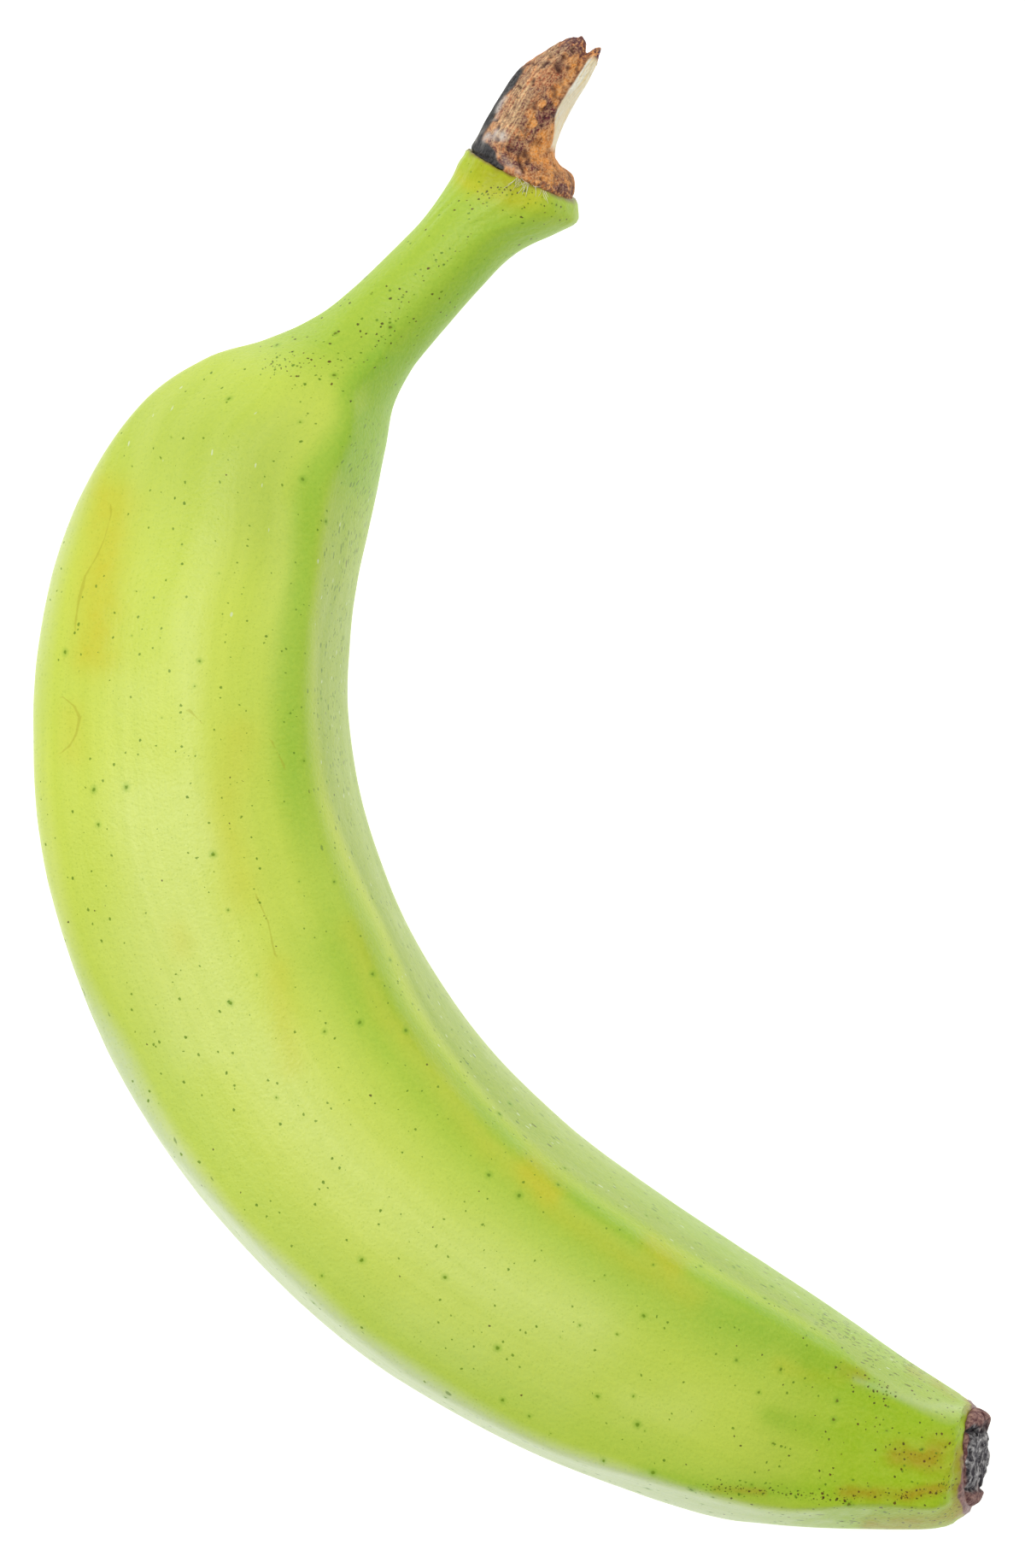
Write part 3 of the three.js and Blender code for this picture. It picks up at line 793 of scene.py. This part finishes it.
# Length runs up the stub and across runs over it towards the hollow side, both in millimetres.
for v in stub.verts:
    s, a = v[along], v[around]
    side = past(a, BACK)
    x, y = v.co.x / MM, v.co.y / MM
    upper = rise(v.normal.z, -0.2, 0.2)
    length, across = UP_X * x + UP_Y * y, UP_Y * x - UP_X * y
    drift = noise.noise_vector(v.co * 600) * 0.35
    mx, my = x + drift.x, y + drift.y
    stretched = v.co - STUB_AXIS * (length * MM) * 0.85
    fibres = noise.noise(stretched * 1100) + 0.5 * noise.noise(stretched * 2600)
    lumps = noise.noise(v.co * 330) + 0.5 * noise.noise(v.co * 900)
    torn_end = rise(length, 75.2, 77.4)
    edge = CUT_ACROSS + 1.7 * rise(70.2 - length, 0, 4.4) + 0.12 * noise.noise(v.co * 700)
    flesh = rise(across - edge, -0.05, 0.12) * rise(a, 1.1, 1.4) * (1 - rise(a, 3.0, 3.1))
    flesh *= rise(length, 65.2, 66.4) * (1 - rise(length + 0.5 * noise.noise(v.co * 900), 76.8, 77.3))
    ragged = 0.18 * noise.noise(v.co * 500)
    bark = rise(side, -0.75, -0.5) * (1 - rise(side + ragged, 0.16, 0.32))
    bark = max(bark, rise(feature_at(mx, my, BLACK_PLACES) * upper, 0.3, 0.6))
    bark *= 1 - rise(length + 3 * ragged, 71.4, 73.0)
    smooth = rise(feature_at(x, y, SMOOTH_PLACES), 0.35, 0.6) * upper
    ring = hill(feature_at(x, y, SMOOTH_PLACES), 0.3, 0.1) * upper
    v[face["flesh"]] = flesh
    v[face["bark"]] = bark
    patchy = rise(noise.noise(v.co * 900), -0.5, 0.3)
    v[face["grey_and_highlight"]] = feature_at(mx, my, GREY_AND_HIGHLIGHT_PLACES) * upper * patchy
    v[face["fibrous"]] = 0.15 + 1.4 * feature_at(x, y, FIBRE_PLACES) * upper
    purple = 0.55 + 0.9 * hill(across, MIDDLE_ACROSS, 1.7)
    v[face["purple"]] = purple + feature_at(mx, my, PURPLE_PLACES) * upper
    orange = 0.6 * rise(across, -40, -38.2) + 0.4 * smooth
    v[face["orange"]] = orange + feature_at(mx, my, ORANGE_PLACES) * upper
    cut_edge = 0.6 * hill(across - edge, -0.1, 0.12) * rise(length, 67, 70) * upper
    foot_edge = 0.7 * rise(s, 9.2, 9.9) * rise(a, 1.5, 2.0) * (1 - rise(a, 3, 3.5))
    horn_tip = 1.3 * rise(x, 9.0, 9.5) * (1 - flesh)
    torn_edge = 0.9 * rise(length + 1.2 * noise.noise(v.co * 700), 76.4, 77.6)
    v[face["torn"]] = max(torn_edge, foot_edge, horn_tip)
    pit = feature_at(x + 0.3 * drift.x, y + 0.3 * drift.y, PIT_PLACES) * upper
    pores = max(0, noise.noise(v.co * 1500) - 0.2) * (1 - flesh) * (1 - 0.8 * bark) * (1 - smooth)
    v[face["pit"]] = min(1, pit + 2.4 * pores + cut_edge + 0.7 * ring)
    depth = 0.09 * fibres + 0.12 * lumps - 0.5 * pores - 0.45 * min(1, pit) - 0.08 * ring
    depth *= (1 - 0.8 * flesh) * (1 - 0.6 * bark)
    depth += 0.35 * noise.noise(v.co * 800) * torn_end
    v.co += v.normal * depth * MM
    horn, notch = 0.3 * hill(across, HORN_ACROSS, 0.4), 1.3 * hill(across, NOTCH_ACROSS, 0.42)
    jag = horn - notch + 0.5 * noise.noise(v.co * 1200)
    v.co += STUB_AXIS * jag * MM * rise(length, *TORN_END_SPAN)

dry_crown, tree, shader, spot, skin = new_finish("dry_crown")
mottle = placed(tree, mottling, Vector=spot, Per_Metre=620, Detail=5, Contrast=6)["Mask"]
blotch = placed(tree, mottling, Vector=spot, Per_Metre=260, Detail=3, Contrast=3)["Mask"]
crumbs = placed(tree, mottling, Vector=spot, Per_Metre=2400, Detail=4, Contrast=5)["Mask"]
grains_and_sparkle = placed(tree, mottling, Vector=spot, Per_Metre=4200, Detail=3, Contrast=6)["Mask"]
fibre = stretched_out(lines_along(tree, skin, 3000, 0.08, 4), 4.5)
colour = tinted(tree, blotch, dye(168, 64, 54), dye(246, 154, 88))
colour = laid(colour, fibre, 0.35, dye(244, 176, 108))
colour = laid(colour, painted(tree, "orange"), 0.85, dye(255, 162, 64))
colour = laid(colour, maths(tree, "MULTIPLY", mottle, painted(tree, "purple")), 0.85, dye(104, 34, 50))
colour = laid(colour, maths(tree, "MULTIPLY", fibre, painted(tree, "fibrous")), 0.8, dye(255, 218, 164))
less_crumbs = maths(tree, "MULTIPLY_ADD", painted(tree, "orange"), -0.35, 1, clamp=True)
colour = laid(colour, maths(tree, "MULTIPLY", crumbs, less_crumbs), 0.6, dye(100, 34, 34))
# Cream grains, bright as painted sparkle highlights.
colour = laid(colour, grains_and_sparkle, 0.42, dye(255, 206, 146))
colour = laid(colour, painted(tree, "pit"), 0.8, dye(62, 26, 32))
colour = laid(colour, maths(tree, "MULTIPLY", painted(tree, "torn"), stretched_out(crumbs, 1.6)), 0.9,
              dye(84, 40, 56))
cream = tinted(tree, fibre, dye(255, 232, 176), dye(255, 250, 230))
colour = laid(colour, painted(tree, "flesh"), 1, cream)
black = tinted(tree, maths(tree, "MULTIPLY", crumbs, blotch), dye(20, 18, 20), dye(92, 88, 86))
colour = laid(colour, painted(tree, "bark"), 1, black)
# Grey places, and a painted highlight on the black skin.
colour = laid(colour, painted(tree, "grey_and_highlight"), 0.85, dye(222, 214, 204))
grit = placed(tree, specks, Vector=skin, Per_Metre=2200, Size=0.2, Edge=0.12, Amount=0.3)["Mask"]
not_flesh = maths(tree, "SUBTRACT", 1, painted(tree, "flesh"))
colour = laid(colour, maths(tree, "MULTIPLY", grit, not_flesh), 0.6, dye(66, 32, 30))
tree.links.new(colour, shader.inputs["Base Color"])
dullness = maths(tree, "MULTIPLY_ADD", painted(tree, "bark"), -0.3, 0.8)
tree.links.new(dullness, shader.inputs["Roughness"])
relief = maths(tree, "MULTIPLY_ADD", fibre, 0.8, crumbs)
bump = wired(tree, "ShaderNodeBump", Strength=0.55, Distance=0.0003, Height=relief)
tree.links.new(bump.outputs["Normal"], shader.inputs["Normal"])
finished(stub, "crown_stub", "banana", dry_crown)

# FLOWER SCAR
# The dry place that the flower left at the blossom end: a hard dark rim that rolls over into two
# round lobes where the upper ridges end, round a rough grey core of broken fibres.
SCAR_POINTS = [36, 30, 36, 36, 36]
SCAR_SPACING = 0.1
UPPER_LOBE, LOWER_LOBE = -74.4, -83.8
UPPER_NOTCH, LOWER_NOTCH = -75.8, -82.7
scar_slices = [
    cut((52.7, -81.2), (53.2, -77.0), 4.0, 9.6, SCAR, 0.2),
    cut((52.9, -84.0), (53.7, -73.9), 10.2, 6.5, SCAR, 0.2),
    cut((53.5, -84.4), (54.3, -73.5), 11.0, 6.1, SCAR, 0.2),
    cut((54.2, -84.0), (55.0, -73.8), 10.6, 6.3, SCAR, 0.2),
    cut((54.8, -83.0), (55.5, -74.4), 9.2, 7.0, SCAR, 0.2),
    cut((54.9, -81.6), (55.5, -75.8), 6.6, 8.3, SCAR, 0.2),
    cut((54.7, -79.6), (55.0, -77.8), 2.0, 10.6, SCAR, 0.2),
]
scar = wrapped_tube(scar_slices, SCAR_POINTS, SCAR_SPACING)
along = scar.verts.layers.float["along"]
core = scar.verts.layers.float.new("core")
crack = scar.verts.layers.float.new("crack")
for v in scar.verts:
    s = v[along]
    y = v.co.y / MM + 0.25 * noise.noise(v.co * 700)
    lobes = hill(y, UPPER_LOBE, 1.0) + hill(y, LOWER_LOBE, 1.0)
    notches = 1.3 * hill(y, UPPER_NOTCH, 0.28) + 0.7 * hill(y, LOWER_NOTCH, 0.3)
    inside = rise(s + 0.35 * noise.noise(v.co * 900), 2.3, 3.0)
    v[core] = inside * (1 - rise(lobes, 0.35, 0.7))
    v[crack] = min(1, notches * inside + max(0, noise.noise(v.co * 1500) - 0.15) * 2 * inside)
    outward = rise(s, 1.5, 3)
    depth = 0.35 * lobes * hill(s, 2.4, 1.2) + 0.14 * noise.noise(v.co * 1300) + 0.12 * hill(s, 2, 0.5)
    depth -= 0.3 * v[crack] * outward
    v.co += v.normal * depth * MM
    push = 0.25 * lobes - 0.75 * notches + 0.55 * noise.noise(v.co * 520) * v[core] - 0.2 * v[core]
    v.co.x += push * MM * outward

dry_scar, tree, shader, spot, _ = new_finish("dry_scar")
crumbs = placed(tree, mottling, Vector=spot, Per_Metre=1900, Detail=5, Contrast=4)["Mask"]
mottle = placed(tree, mottling, Vector=spot, Per_Metre=700, Detail=5, Contrast=4)["Mask"]
colour = tinted(tree, crumbs, dye(98, 58, 58), dye(168, 128, 116))
core_mottle = maths(tree, "MULTIPLY", crumbs, mottle)
pale_core = tinted(tree, core_mottle, dye(46, 42, 50), dye(216, 212, 208))
colour = tinted(tree, painted(tree, "core"), colour, pale_core)
colour = laid(colour, painted(tree, "crack"), 0.8, dye(36, 26, 30))
tree.links.new(colour, shader.inputs["Base Color"])
shader.inputs["Roughness"].default_value = 0.85
bump = wired(tree, "ShaderNodeBump", Strength=0.7, Distance=0.0003, Height=crumbs)
tree.links.new(bump.outputs["Normal"], shader.inputs["Normal"])
finished(scar, "blossom_scar", "banana", dry_scar)

# CROWN HAIRS
# Fine pale threads of the torn skin, grown fast to the crown's edge, that lie over the collar.
# Each is a thin closed hair, thinner at its free end, with a slight curl.
hairs = bmesh.new()
chance = random.Random(11)
HAIR_RADIUS = 0.045
HAIRS = 22
HAIR_LENGTHS, HAIR_LIFTS, MOST_CURL = (0.7, 1.9), (0.5, 0.9), 0.6
HAIRY_SPAN = (1.4, 2.05)
DOWN_THE_STALK, FAN = math.radians(-122), 1.3
lip = [point for point in ring_of(COLLAR_SLICE + [0], PEEL_POINTS)
       if HAIRY_SPAN[0] < point[3] < HAIRY_SPAN[1]]
for _ in range(HAIRS):
    x, y, z, _place = chance.choice(lip)
    turn = DOWN_THE_STALK + chance.uniform(-FAN, FAN)
    onward = Vector((math.cos(turn), math.sin(turn), 0))
    across = Vector((-onward.y, onward.x, 0))
    long, lift = chance.uniform(*HAIR_LENGTHS), chance.uniform(*HAIR_LIFTS)
    curl = chance.uniform(-MOST_CURL, MOST_CURL)
    first = len(hairs.verts)
    ends = bmesh.ops.create_cone(hairs, cap_ends=True, segments=6, radius1=HAIR_RADIUS,
                                 radius2=HAIR_RADIUS / 2, depth=2)["verts"]
    sides = {e for v in ends for e in v.link_edges if abs(e.verts[0].co.z - e.verts[1].co.z) > 1}
    bmesh.ops.subdivide_edges(hairs, edges=sorted(sides, key=lambda e: e.index), cuts=6)
    for v in list(hairs.verts)[first:]:
        share = (v.co.z + 1) / 2
        middle = Vector((x, y, z)) + onward * long * share + across * curl * share ** 2
        middle.z += lift * math.sin(2.2 * share) - 0.05
        v.co = (middle + across * v.co.x + Vector((0, 0, v.co.y))) * MM
bmesh.ops.recalc_face_normals(hairs, faces=hairs.faces)

pale_hair, tree, shader, spot, _ = new_finish("pale_hair")
mottle = placed(tree, mottling, Vector=spot, Per_Metre=900, Detail=3, Contrast=3)["Mask"]
colour = tinted(tree, mottle, dye(206, 200, 140), dye(240, 238, 204))
tree.links.new(colour, shader.inputs["Base Color"])
shader.inputs["Roughness"].default_value = 0.6
finished(hairs, "crown_hairs", "banana", pale_hair)
